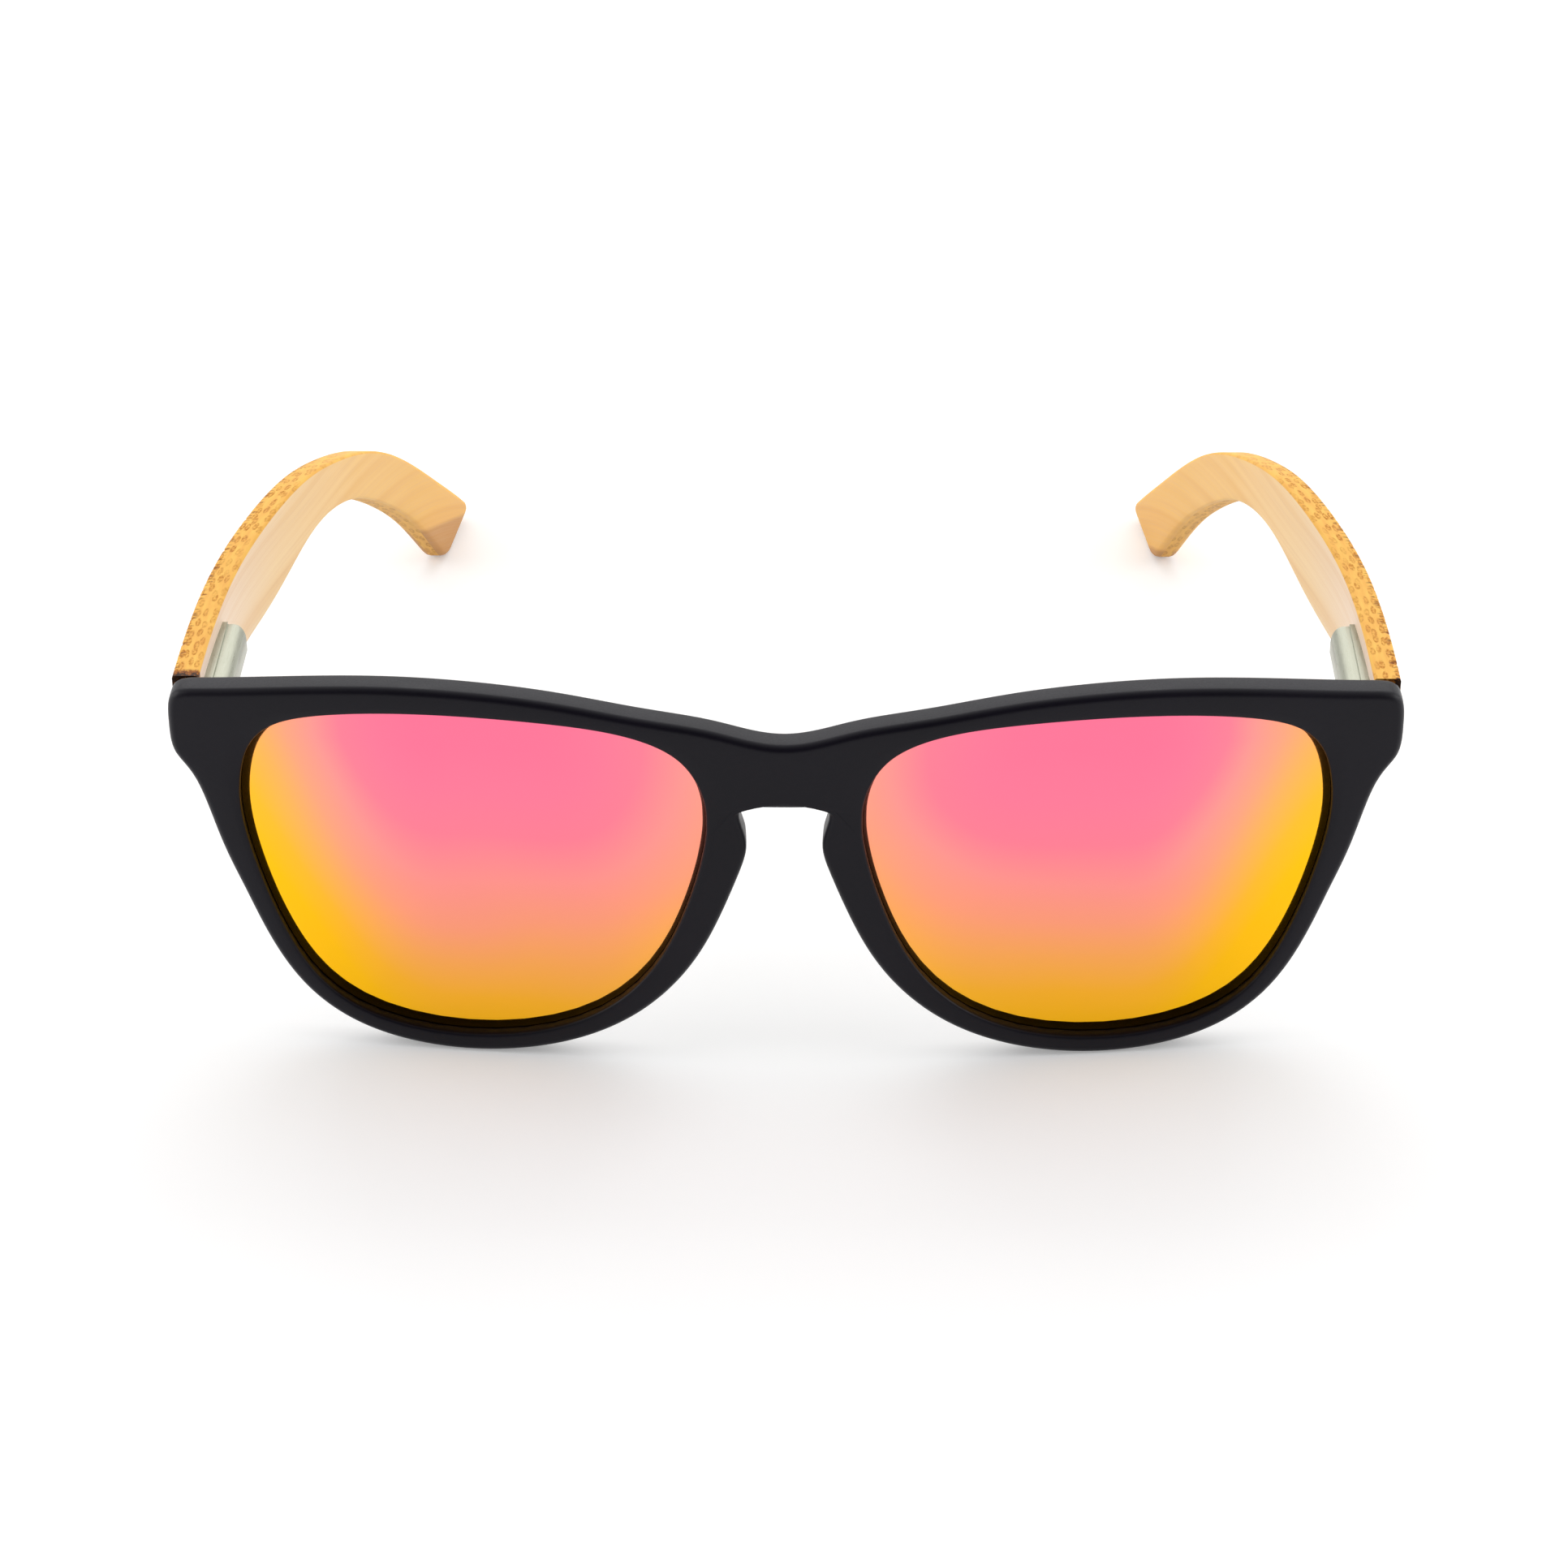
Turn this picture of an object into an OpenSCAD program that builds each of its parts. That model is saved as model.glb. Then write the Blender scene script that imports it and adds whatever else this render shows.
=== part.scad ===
// Sunglasses with a moulded front, mirrored lenses and bamboo temples on spring hinges.
// They stand open on a table: lower rims and temple tips touch z = 0, and the front faces -Y.
// Left and right are the wearer's, so the left side is +X.

/* [Front] */
// Width over both end pieces
front_w = 143; // [136:0.5:152]
// Width of each lens opening
lens_w = 54.6; // [50:0.2:57]
// Height of each lens opening
lens_h = 43.6; // [38:0.2:48]
// Distance between the two lens openings
bridge_w = 18; // [16.5:0.5:22]
// Height of the brow bar above the opening
brow_h = 3.1; // [2.4:0.1:5]
// Width of the rim under the lens
rim_low = 2.4; // [1.8:0.1:4]
// Width of the rim beside the temple
rim_side = 2.6; // [2:0.1:4]
// Width of the rim beside the nose
rim_nose = 4.2; // [3.2:0.1:4.8]
// Thickness of the rim, front to back
rim_t = 4; // [3.8:0.1:5.5]
// Radius of the front's sweep, seen from above
front_curve_r = 380; // [300:10:600]
// Rounding of the front's outer edges
edge_r = 0.9; // [0.4:0.1:1.1]
// Rounding of the edges of the lens openings
lip_r = 0.3; // [0.1:0.05:0.5]

/* [Bridge] */
// How far the top of the bridge lies under the top of the brow
bridge_drop = 6.2; // [3:0.2:8]
// Height of the bridge bar over the keyhole
bridge_h = 8; // [6:0.2:10]
// Width of the keyhole at its top
keyhole_w = 10; // [9:0.2:11]
// Width of the keyhole at its neck
neck_w = 8.2; // [7:0.2:9]
// Height from the top of the keyhole down to its neck
neck_drop = 5; // [4:0.2:7]
// How far each moulded nose pad stands out behind the rim
pad_depth = 5.5; // [3:0.5:8]
// How far a pad leans away from the nose, per millimetre of depth
pad_lean = 0.3; // [0:0.05:0.5]

/* [End pieces] */
// How far the top of the end piece lies under the top of the brow
end_drop = 2.8; // [1.5:0.1:4]
// Height of the end piece
end_h = 8.6; // [7.6:0.2:11]
// Thickness of the end piece at its outer edge
end_t = 4.5; // [4.2:0.1:6]

/* [Lenses] */
// Thickness of a lens
lens_t = 1.2; // [1:0.1:1.6]
// Radius of the lens's ball-shaped face
lens_r = 200; // [160:5:300]
// Depth of the lens's middle behind the front's face
lens_recess = 0.35; // [0.2:0.05:0.8]
// Depth of the groove that holds the lens
groove_d = 0.7; // [0.5:0.05:1]
// Clearance between a lens and its groove
lens_fit = 0.05; // [0.03:0.01:0.1]

/* [Temples] */
// Length from the butt to the end of the tip, seen from the side
temple_l = 133.5; // [120:0.5:140]
// Thickness of the bamboo
temple_t = 3.1; // [2.9:0.1:4]
// Height of the temple at its butt
butt_h = 9.6; // [9:0.1:11]
// Height of the temple before the ear bend
arm_h = 11.4; // [10:0.1:14]
// How far the tip stands inside the butt, seen from above
bow = 19; // [14:0.5:26]
// Height of the tip's end above the table
heel_h = 1.2; // [0.8:0.2:8]
// Length of the cut under the tip
heel_l = 15; // [8:0.5:18]
// Gap between the temple's butt and the end piece
butt_gap = 0.15; // [0.1:0.05:0.4]

/* [Hinge] */
// Radius of the hinge's knuckles
knuckle_r = 1.45; // [1.3:0.05:1.6]
// Height of the middle knuckle
mid_knuckle_h = 2; // [1.6:0.1:2.4]
// Height of each outer knuckle
end_knuckle_h = 1.4; // [1.2:0.1:1.6]
// Radius of the hinge screw's shank
screw_r = 0.65; // [0.5:0.05:0.75]
// Radius of the hinge screw's head
screw_head_r = 1.15; // [1:0.05:1.3]
// Height of the hinge screw's head
screw_head_h = 0.7; // [0.5:0.05:0.9]
// Width of the hinge plate let into the end piece
plate_w = 4.6; // [4:0.1:5]
// Height of the hinge plate
plate_h = 5.8; // [5.4:0.1:6.2]
// Thickness of the hinge plate
plate_t = 1; // [0.8:0.1:1.2]
// Length of the plate's tongue, which is moulded into the end piece
tongue_l = 1.6; // [1:0.1:2]
// Radial clearance of turning and sliding pieces
run_fit = 0.05; // [0.03:0.01:0.08]

/* [Spring case] */
// Length of the spring case
case_l = 14; // [13:0.5:16]
// Height of the spring case
case_h = 5; // [4.8:0.1:5.4]
// How deep the case is let into the bamboo at its front end
case_inlay = 0.8; // [0.5:0.1:1]
// How far the case's flange stands out from the bamboo
flange_t = 1; // [0.6:0.1:1.2]
// Radius of the bore that holds the spring
bore_r = 1.25; // [1.2:0.01:1.3]
// Radius of the slider's stem
stem_r = 0.4; // [0.35:0.05:0.45]
// Length of the slider's block inside the case
block_l = 3; // [2.5:0.1:3.5]
// Radius of the spring's wire
wire_r = 0.2; // [0.15:0.01:0.22]
// Number of turns of the spring
spring_turns = 5; // [4:1:6]
// Length of the stop bush
bush_l = 1.4; // [1.2:0.1:1.6]
// Radius of the pin that locks the stop bush
bush_pin_r = 0.35; // [0.3:0.05:0.4]
// Length of the nut on the stem's end
nut_l = 1.2; // [1:0.1:1.4]
// Radius of the studs that hold the case in the bamboo
stud_r = 0.6; // [0.5:0.05:0.7]
// Length of those studs
stud_l = 0.8; // [0.6:0.1:1]

/* [Hidden] */

plastic_black = [0.06, 0.06, 0.065];
mirror_pink = [0.95, 0.5, 0.35];
bamboo = [0.85, 0.65, 0.38];
nickel = [0.75, 0.76, 0.77];
spring_steel = [0.5, 0.5, 0.52];

// One stretch of a uniform cubic B-spline, t from 0 to 1 between its middle points
function stretch(a, b, c, d, t) =
  (pow(1 - t, 3) * a + (3 * pow(t, 3) - 6 * t * t + 4) * b
   + (3 * t * (1 + t - t * t) + 1) * c + pow(t, 3) * d) / 6;

// A closed spline sampled steps times between each two of its control points
function closed_curve(p, steps) =
  let (n = len(p))
  [for (k = [0 : n - 1]) for (s = [0 : steps - 1])
    stretch(p[(k + n - 1) % n], p[k], p[(k + 1) % n], p[(k + 2) % n], s / steps)];

// An open spline through p with a point added before and after it, end point included
function open_curve(before, p, after, steps) =
  let (q = concat([before], p, [after]), n = len(p) - 1)
  concat(
    [for (k = [0 : n - 1]) for (s = [0 : steps - 1])
      stretch(q[k], q[k + 1], q[k + 2], q[k + 3], s / steps)],
    [stretch(q[n - 1], q[n], q[n + 1], q[n + 2], 1)]);

// A spline that starts and ends exactly at its end points
function free_curve(p, steps) =
  let (n = len(p) - 1)
  open_curve(2 * p[0] - p[1], p, 2 * p[n] - p[n - 1], steps);

function unit(v) = v / norm(v);
function ease(a, b, x) =
  let (t = max(0, min(1, (x - a) / (b - a))))
  t * t * (3 - 2 * t);

// Lens opening: control points as shares of half its width and height, from the bridge round over the brow
opening_shape = [
  [-0.965, 0.66], [-0.9, 0.8], [-0.77, 0.905], [-0.57, 0.975], [-0.3, 1.01], [0.02, 1.03], [0.33, 1.025],
  [0.61, 0.99], [0.83, 0.925], [0.94, 0.8], [0.985, 0.66], [1.005, 0.51], [1.01, 0.35], [0.985, 0.14],
  [0.93, -0.13], [0.85, -0.43], [0.72, -0.75], [0.48, -0.97], [0.08, -1.055], [-0.33, -0.985],
  [-0.63, -0.77], [-0.82, -0.44], [-0.92, -0.1], [-0.965, 0.1], [-0.985, 0.22], [-0.995, 0.3],
  [-1, 0.36], [-1, 0.42], [-1, 0.48], [-0.99, 0.56]
];
steps = 3;
shape_curve = closed_curve(opening_shape, steps);
shape_x = [for (p = shape_curve) p[0]];
shape_z = [for (p = shape_curve) p[1]];
shape_low = [min(shape_x), min(shape_z)];
shape_span = [max(shape_x) - min(shape_x), max(shape_z) - min(shape_z)];
lens_x = (bridge_w + lens_w) / 2;

// Puts a point of the opening's shape in place: x from the middle of the bridge, z from the opening's middle
function opening_at(p) = [
  bridge_w / 2 + (p[0] - shape_low[0]) / shape_span[0] * lens_w,
  ((p[1] - shape_low[1]) / shape_span[1] - 0.5) * lens_h
];
opening_points = [for (p = opening_shape) opening_at(p)];
opening = closed_curve(opening_points, steps);

// Outline of one half of the front: from the bridge's top round the end piece, under the lens, to the keyhole
half_w = front_w / 2;
brow_z = lens_h / 2 + brow_h;
bridge_z = brow_z - bridge_drop;
end_z = brow_z - end_drop;
keyhole_z = bridge_z - bridge_h;
brow_line = [
  [0, bridge_z], [0.06, bridge_z + 0.13 * bridge_drop], [0.125, brow_z - 0.62 * bridge_drop],
  [0.24, brow_z - 0.44 * bridge_drop], [0.37, brow_z - 0.13 * bridge_drop], [0.52, brow_z + 0.03 * brow_h],
  [0.66, brow_z + 0.03 * brow_h], [0.8, brow_z - 0.3 * end_drop], [0.944, brow_z - 0.75 * end_drop]
];
brow_points = [for (p = brow_line) [p[0] * half_w, p[1]]];
end_points = [
  [half_w, end_z + 0.058 * end_h], [half_w, end_z - 0.5 * end_h], [half_w, end_z - 0.965 * end_h],
  [half_w - 1.115 * rim_side, end_z - 1.21 * end_h]
];
first_rim = len(brow_points) + len(end_points);
// Rim widths at the control points that follow the end piece, round to the nose
rim_widths = concat(
  [1.35 * rim_side, rim_side, 0.97 * rim_side],
  [rim_low, rim_low, rim_low, rim_low],
  [0.7 * rim_nose, 0.9 * rim_nose, rim_nose]);
rim_points = [for (i = [0 : len(rim_widths) - 1])
  let (k = first_rim + i, d = unit(opening_points[k + 1] - opening_points[k - 1]))
  opening_points[k] + rim_widths[i] * [-d[1], d[0]]];
keyhole_points = [
  [0.646 * neck_w, keyhole_z - 1.8 * neck_drop], [0.476 * neck_w, keyhole_z - neck_drop],
  [0.55 * keyhole_w, keyhole_z - 0.28 * neck_drop], [0.48 * keyhole_w, keyhole_z + 0.04 * neck_drop],
  [0.3 * keyhole_w, keyhole_z], [0, keyhole_z]
];
half_points = concat(brow_points, end_points, rim_points, keyhole_points);
last = len(half_points) - 1;
function mirrored(p) = [-p[0], p[1]];
half_outline = open_curve(mirrored(half_points[1]), half_points, mirrored(half_points[last - 1]), steps);

// The lens's middle stands this high, so that the lower rims touch the table
lens_z = -min([for (p = half_outline) p[1]]);

// The front's face sweeps back from the bridge; the lens is a shell cut from a ball
function face_y(x) = x * x / (2 * front_curve_r);
sweep = atan(lens_x / front_curve_r);
ball = [
  lens_x - lens_r * sin(sweep), face_y(lens_x) + lens_recess + lens_r * cos(sweep), lens_z
];
function ball_y(p, r) = ball[1] - sqrt(r * r - pow(p[0] - ball[0], 2) - pow(p[1] - ball[2], 2));

// The rim's back follows its face, and thickens into a flat seat for the hinge at the end piece.
// The seat lies far enough back for the hinge's tongue to clear the lens, and slopes off under the top edge.
tongue_gap = 0.25;
lens_back_y = max([for (i = [0 : len(opening) - 1]) ball_y(opening_side(i, groove_d), lens_r - lens_t)]);
butt_y = max(face_y(half_w) + end_t, lens_back_y + tongue_gap + plate_t + tongue_l);
opening_out_x = bridge_w / 2 + lens_w;
end_top_z = lens_z + end_z;
end_low_z = end_top_z - end_h;
seat_slope = 0.26 * end_h;
function seat_share(p) =
  ease(opening_out_x - 0.13 * lens_w, opening_out_x - 0.015 * lens_w, p[0])
  * ease(end_low_z - 1.4 * end_h, end_low_z - 0.46 * end_h, p[1])
  * (1 - ease(end_top_z - seat_slope, end_top_z, p[1]));
function back_y(p) =
  let (s = seat_share(p))
  (1 - s) * (face_y(p[0]) + rim_t) + s * butt_y;

// Stations round the opening: those from seam on lie in the middle of the bridge and join the two halves
stations = len(opening);
seam = len(half_outline) - 1;
function in_seam(i) = i == 0 || i >= seam;
function ring_normal(c, i) =
  let (n = len(c), d = unit(c[(i + 1) % n] - c[(i + n - 1) % n]))
  [-d[1], d[0]];
function outline_normal(i) = i == 0 ? [0, 1] : i == seam ? [0, -1] : ring_normal(half_outline, i);
function lifted(p) = [p[0], p[1] + lens_z];

// How much of the nose pad a station carries: none away from the nose, all in the pad's middle
pad_first = first_rim + len(rim_widths) - 3;
pad_share = [for (i = [0 : stations - 1])
  let (k = i / steps)
  ease(pad_first, pad_first + 2, k) * (1 - ease(pad_first + 2.6, pad_first + 4.4, k))];

function opening_side(i, out) = lifted(opening[i] + out * ring_normal(opening, i));
function outline_side(i, inset) = lifted(half_outline[i] - inset * outline_normal(i));
function at(p, y) = [p[0], y, p[1]];
function on_face(p, deep) = at(p, face_y(p[0]) + deep);
function on_back(p, deep) = at(p, back_y(p) - deep);
function on_pad(i, inset, deep) =
  let (d = pad_depth * pad_share[i], p = outline_side(i, inset + pad_lean * d))
  at(p, back_y(p) + d - deep);

// The section of the rim at one station, as a ring of points from the front face outwards and round the back
round_steps = 3;
round_out = [for (s = [0 : round_steps]) edge_r * (1 - sin(90 * s / round_steps))];
round_deep = [for (s = [0 : round_steps]) edge_r * (1 - cos(90 * s / round_steps))];
function outer_ring(i) = concat(
  [for (s = [0 : round_steps]) on_face(outline_side(i, round_out[s]), round_deep[s])],
  [for (s = [round_steps : -1 : 0]) on_pad(i, round_out[s], round_deep[s])]);
bridge_low = lens_z + half_outline[seam][1] + edge_r;
bridge_high = lens_z + half_outline[0][1] - edge_r;
function seam_point(i) = [0, bridge_low + (bridge_high - bridge_low) * (i - seam) / (stations - seam)];
function seam_ring(i) =
  let (p = seam_point(i))
  concat(
    [for (s = [0 : round_steps]) on_face(p, 0)],
    [for (s = [0 : round_steps]) on_back(p, 0)]);
function mid_back(i) =
  let (d = pad_depth * pad_share[i],
       far = i <= seam ? outline_side(i, edge_r + pad_lean * d) : seam_point(i),
       p = (far + opening_side(i, lip_r)) / 2)
  at(p, back_y(p) + d / 2);
function inner_ring(i) =
  let (lip = opening_side(i, 0), edge = opening_side(i, lip_r), deep = opening_side(i, groove_d))
  [
    mid_back(i), on_back(edge, 0), on_back(lip, lip_r),
    at(lip, ball_y(lip, lens_r - lens_t) + lens_fit), at(deep, ball_y(deep, lens_r - lens_t) + lens_fit),
    at(deep, ball_y(deep, lens_r) - lens_fit), at(lip, ball_y(lip, lens_r) - lens_fit),
    on_face(lip, lip_r), on_face(edge, 0)
  ];
outer_count = 2 * (round_steps + 1);
ring_count = outer_count + len(inner_ring(0));
half_rings = [for (i = [0 : stations - 1])
  concat(i <= seam ? outer_ring(i) : seam_ring(i), inner_ring(i))];
half_flat = [for (ring = half_rings) each ring];
all_points = concat(half_flat, [for (p = half_flat) [-p[0], p[1], p[2]]]);

function on_seam(i, j) = in_seam(i) && j < outer_count;
function index(side, i, j) = i * ring_count + j + (side == 0 || on_seam(i, j) ? 0 : stations * ring_count);
half_quads = [for (i = [0 : stations - 1]) for (j = [0 : ring_count - 1])
  let (k = (i + 1) % stations, m = (j + 1) % ring_count)
  if (!(in_seam(i) && in_seam(k) && j < outer_count - 1)) [[i, j], [i, m], [k, m], [k, j]]];
function corner(side, q) = index(side, q[0], q[1]);
front_faces = [for (q = half_quads) each [
  [corner(0, q[0]), corner(0, q[1]), corner(0, q[2])], [corner(0, q[0]), corner(0, q[2]), corner(0, q[3])],
  [corner(1, q[0]), corner(1, q[2]), corner(1, q[1])], [corner(1, q[0]), corner(1, q[3]), corner(1, q[2])]
]];

// Temple: a side profile and a bowed band seen from above, cut out of each other
butt_inset = 0.1;
temple_y = butt_y + butt_gap;
tip_y = temple_y + temple_l;
temple_top = end_top_z - 2 * butt_inset;
temple_x = half_w - butt_inset;
heel_y = tip_y - heel_l;
// Shares of the temple's length back from the butt, and of the drop from its top to the heel
top_shape = [
  [0, 0], [0.2, -0.002], [0.38, 0], [0.485, 0.085], [0.6, 0.212], [0.71, 0.392], [0.82, 0.612],
  [0.915, 0.811], [0.975, 0.938], [1, 1]
];
top_line = [for (p = top_shape) [temple_y + p[0] * temple_l, temple_top - p[1] * (temple_top - heel_h)]];
// Shares of the temple's length forwards from the heel, and of the arm's height above the table
arm_low = temple_top - arm_h;
low_shape = [
  [0, 0], [0.06, 0.21], [0.12, 0.41], [0.195, 0.62], [0.27, 0.8], [0.335, 0.94], [0.405, 1.03],
  [0.48, 1.065], [0.545, 1.01], [0.613, 0.99]
];
low_line = concat(
  [for (p = low_shape) [heel_y - p[0] * temple_l, p[1] * arm_low]],
  [[temple_y + 0.24 * temple_l, arm_low], [temple_y + 0.12 * temple_l, temple_top - 1.06 * butt_h],
   [temple_y, temple_top - butt_h]]);
profile_steps = 4;
temple_profile = concat(free_curve(top_line, profile_steps), free_curve(low_line, profile_steps));
plan_line = [
  [0, 0], [0.08, 0], [0.215, 0.045], [0.35, 0.24], [0.5, 0.46], [0.66, 0.65], [0.83, 0.825], [1, 1]
];
outer_line = [for (p = plan_line) [temple_x - bow * p[1], temple_y + temple_l * p[0]]];
outer_side = free_curve(outer_line, profile_steps);
function side_normal(i) =
  let (n = len(outer_side) - 1, d = unit(outer_side[min(i + 1, n)] - outer_side[max(i - 1, 0)]))
  [-d[1], d[0]];
inner_side = [for (i = [len(outer_side) - 1 : -1 : 0]) outer_side[i] + temple_t * side_normal(i)];
temple_band = concat(outer_side, inner_side);
// The band reaches a little past both ends of the profile
past = 2;

// Hinge: the pin stands behind the end piece, beside the temple's inner face
hinge_z = temple_top - butt_h / 2;
wood_in_x = temple_x - temple_t;
knuckle_gap = 0.25;
pin_x = wood_in_x - knuckle_r - knuckle_gap;
pin_y = butt_y + knuckle_r + knuckle_gap;
knuckle_bore_r = screw_r + run_fit;
stack_h = mid_knuckle_h + 2 * end_knuckle_h + 2 * run_fit;
plate_x = pin_x - knuckle_r - knuckle_gap;
plate_fit = 0.03;
tongue_w = 0.52 * plate_w;
tongue_h = 0.62 * plate_h;

// Spring case: a flange let into the bamboo behind the pin, with a rounded barrel on it
knuckle_room = 0.55;
case_wall = 0.35;
case_end_wall = 1;
case_corner_r = 1.4;
barrel_step = 0.3;
barrel_round_r = 1.8;
case_y = pin_y + knuckle_r + knuckle_room;
bore_x = pin_x;
case_x = bore_x - bore_r - case_wall;
case_w = wood_in_x + case_inlay - case_x;
flange_x = wood_in_x - flange_t;
stud_places = [case_y + 0.14 * case_l, case_y + 0.82 * case_l];
stud_root = 0.2;

// In the case, from its mouth backwards: the slider's block, the bush, the spring and the nut
block_w = 2.2;
block_h = mid_knuckle_h;
block_end_y = case_y + block_l;
bush_gap = 0.3;
bush_y = block_end_y + bush_gap;
spring_gap = 0.15;
spring_y = bush_y + bush_l + spring_gap;
slide_room = 0.5;
nut_y = case_y + case_l - case_end_wall - slide_room - nut_l;
spring_l = nut_y - spring_gap - spring_y;
nut_fit = 0.12;
bush_fit = 0.02;
tight_fit = 0.01;
coil_r = bore_r - wire_r - nut_fit;
bush_pin_x = bore_x + 0.4 * bore_r;

// Cuts reach this far past the face that they open
cut_past = 1;
round_fn = 48;
ball_fn = 360;

// The origin is on the table, under the middle of the whole
middle_y = tip_y / 2;
module placed() {
  translate([0, -middle_y, 0]) children();
}

module side_of(side) {
  if (side > 0) children();
  else mirror([1, 0, 0]) children();
}

module for_side(side) {
  placed() side_of(side) children();
}

// A round bar along +Y from y, in line with the case's bore
module bar(r, y, l) {
  translate([bore_x, y, hinge_z]) rotate([-90, 0, 0]) cylinder(r = r, h = l, $fn = round_fn);
}

// A block centred on the case's bore, seen along Y
module block(w, h, y, l) {
  translate([bore_x - w / 2, y, hinge_z - h / 2]) cube([w, l, h]);
}

// The hinge plate with its tongue, or with a fit the space for them in the end piece
module plate_body(fit) {
  tongue_x = plate_x + (plate_w - tongue_w) / 2;
  tongue_y = butt_y - plate_t - tongue_l;
  translate([plate_x - fit, butt_y - plate_t - fit, hinge_z - plate_h / 2 - fit])
    cube([plate_w + 2 * fit, plate_t + 2 * fit, plate_h + 2 * fit]);
  translate([tongue_x - fit, tongue_y - fit, hinge_z - tongue_h / 2 - fit])
    cube([tongue_w + 2 * fit, tongue_l + plate_t / 2, tongue_h + 2 * fit]);
}

// Moulded black front: a rim lofted round each lens, with brow, bridge, nose pads and end pieces in one
module front_frame() {
  color(plastic_black)
    placed()
      difference() {
        polyhedron(points = all_points, faces = front_faces, convexity = 10);
        for (side = [-1, 1]) side_of(side) plate_body(plate_fit);
      }
}

// Mirrored lens: a shell of a ball, cut to the bottom of the groove
module lens(side) {
  lens_edge = [for (i = [0 : stations - 1]) opening_side(i, groove_d - lens_fit)];
  reach = butt_y + lens_t;
  color(mirror_pink)
    for_side(side)
      intersection() {
        translate([0, reach, 0]) rotate([90, 0, 0]) linear_extrude(height = 2 * reach) polygon(lens_edge);
        difference() {
          translate(ball) sphere(r = lens_r, $fn = ball_fn);
          translate(ball) sphere(r = lens_r - lens_t, $fn = ball_fn);
        }
      }
}

// Bamboo temple, with a pocket and two blind holes for the spring case
module temple(side) {
  color(bamboo)
    for_side(side)
      difference() {
        intersection() {
          translate([half_w + past, 0, 0]) rotate([90, 0, -90])
            linear_extrude(height = half_w) polygon([for (p = temple_profile) [-p[0], p[1]]]);
          translate([0, 0, -past]) linear_extrude(height = temple_top + 3 * past) polygon(temple_band);
        }
        case_flange(run_fit);
        case_studs(run_fit);
      }
}

// Flange of the spring case, or with a fit its pocket in the bamboo
module case_flange(fit) {
  translate([flange_x - fit, case_y - fit, hinge_z - case_h / 2 - fit])
    cube([case_x + case_w - flange_x + 2 * fit, case_l + 2 * fit, case_h + 2 * fit]);
}

// A rectangle from the origin, with the corner at its far end on the left rounded
module one_round_corner(w, l, r) {
  difference() {
    square([w, l]);
    translate([0, l - r]) square([r, r]);
  }
  translate([r, l - r])
    intersection() {
      circle(r = r, $fn = round_fn);
      translate([-r, 0]) square([r, r]);
    }
}

// Barrel of the spring case: rounded along its inner side and at its inner rear corner
module case_barrel() {
  w = flange_x + flange_t / 2 - case_x;
  half_h = case_h / 2 - barrel_step;
  intersection() {
    translate([case_x, case_y, hinge_z - half_h])
      linear_extrude(height = 2 * half_h) one_round_corner(w, case_l, case_corner_r);
    translate([case_x, case_y + case_l, hinge_z]) rotate([90, 0, 0])
      linear_extrude(height = case_l) {
        one_round_corner(w, half_h, barrel_round_r);
        mirror([0, 1]) one_round_corner(w, half_h, barrel_round_r);
      }
  }
}

// Studs on the case's outer side, or with a fit their blind holes in the bamboo
module case_studs(fit) {
  for (y = stud_places)
    translate([case_x + case_w - stud_root, y, hinge_z]) rotate([0, 90, 0])
      cylinder(r = stud_r + fit, h = stud_root + stud_l + fit, $fn = round_fn);
}

// The pin's hole runs in from the side that the bamboo covers
module bush_pin_bar(fit) {
  translate([bush_pin_x, bush_y + bush_l / 2, hinge_z]) rotate([0, 90, 0])
    cylinder(r = bush_pin_r + fit, h = case_x + case_w - bush_pin_x, $fn = round_fn);
}

// Nickel spring case: a square mouth for the slider, then a round bore for bush, spring and nut
module spring_case(side) {
  color(nickel)
    for_side(side)
      difference() {
        union() {
          case_flange(0);
          case_barrel();
          case_studs(0);
        }
        block(block_w + 2 * run_fit, block_h + 2 * run_fit, case_y - cut_past, cut_past + block_l + bush_gap);
        bar(bore_r, case_y - cut_past, cut_past + case_l - case_end_wall);
        bush_pin_bar(tight_fit);
      }
}

// Front leaf of the hinge: a plate with a tongue and two knuckles
module hinge_plate(side) {
  color(nickel)
    for_side(side)
      difference() {
        union() {
          plate_body(0);
          for (z = [hinge_z - stack_h / 2, hinge_z + stack_h / 2 - end_knuckle_h]) {
            translate([pin_x, pin_y, z]) cylinder(r = knuckle_r, h = end_knuckle_h, $fn = round_fn);
            translate([pin_x - knuckle_r, butt_y - plate_t / 2, z])
              cube([2 * knuckle_r, pin_y - butt_y + plate_t / 2, end_knuckle_h]);
          }
        }
        translate([pin_x, pin_y, hinge_z - stack_h])
          cylinder(r = knuckle_bore_r, h = 2 * stack_h, $fn = round_fn);
      }
}

// Hinge screw: the pin of the hinge, with a slotted head on the upper knuckle
module hinge_screw(side) {
  slot_w = 0.3;
  slot_d = 0.3;
  head_gap = 0.02;
  head_z = hinge_z + stack_h / 2 + head_gap;
  color(nickel)
    for_side(side)
      difference() {
        union() {
          translate([pin_x, pin_y, hinge_z - stack_h / 2])
            cylinder(r = screw_r, h = head_z - hinge_z + stack_h / 2, $fn = round_fn);
          translate([pin_x, pin_y, head_z]) cylinder(r = screw_head_r, h = screw_head_h, $fn = round_fn);
        }
        translate([pin_x - slot_w / 2, pin_y - 2 * screw_head_r, head_z + screw_head_h - slot_d])
          cube([slot_w, 4 * screw_head_r, 2 * slot_d]);
      }
}

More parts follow.
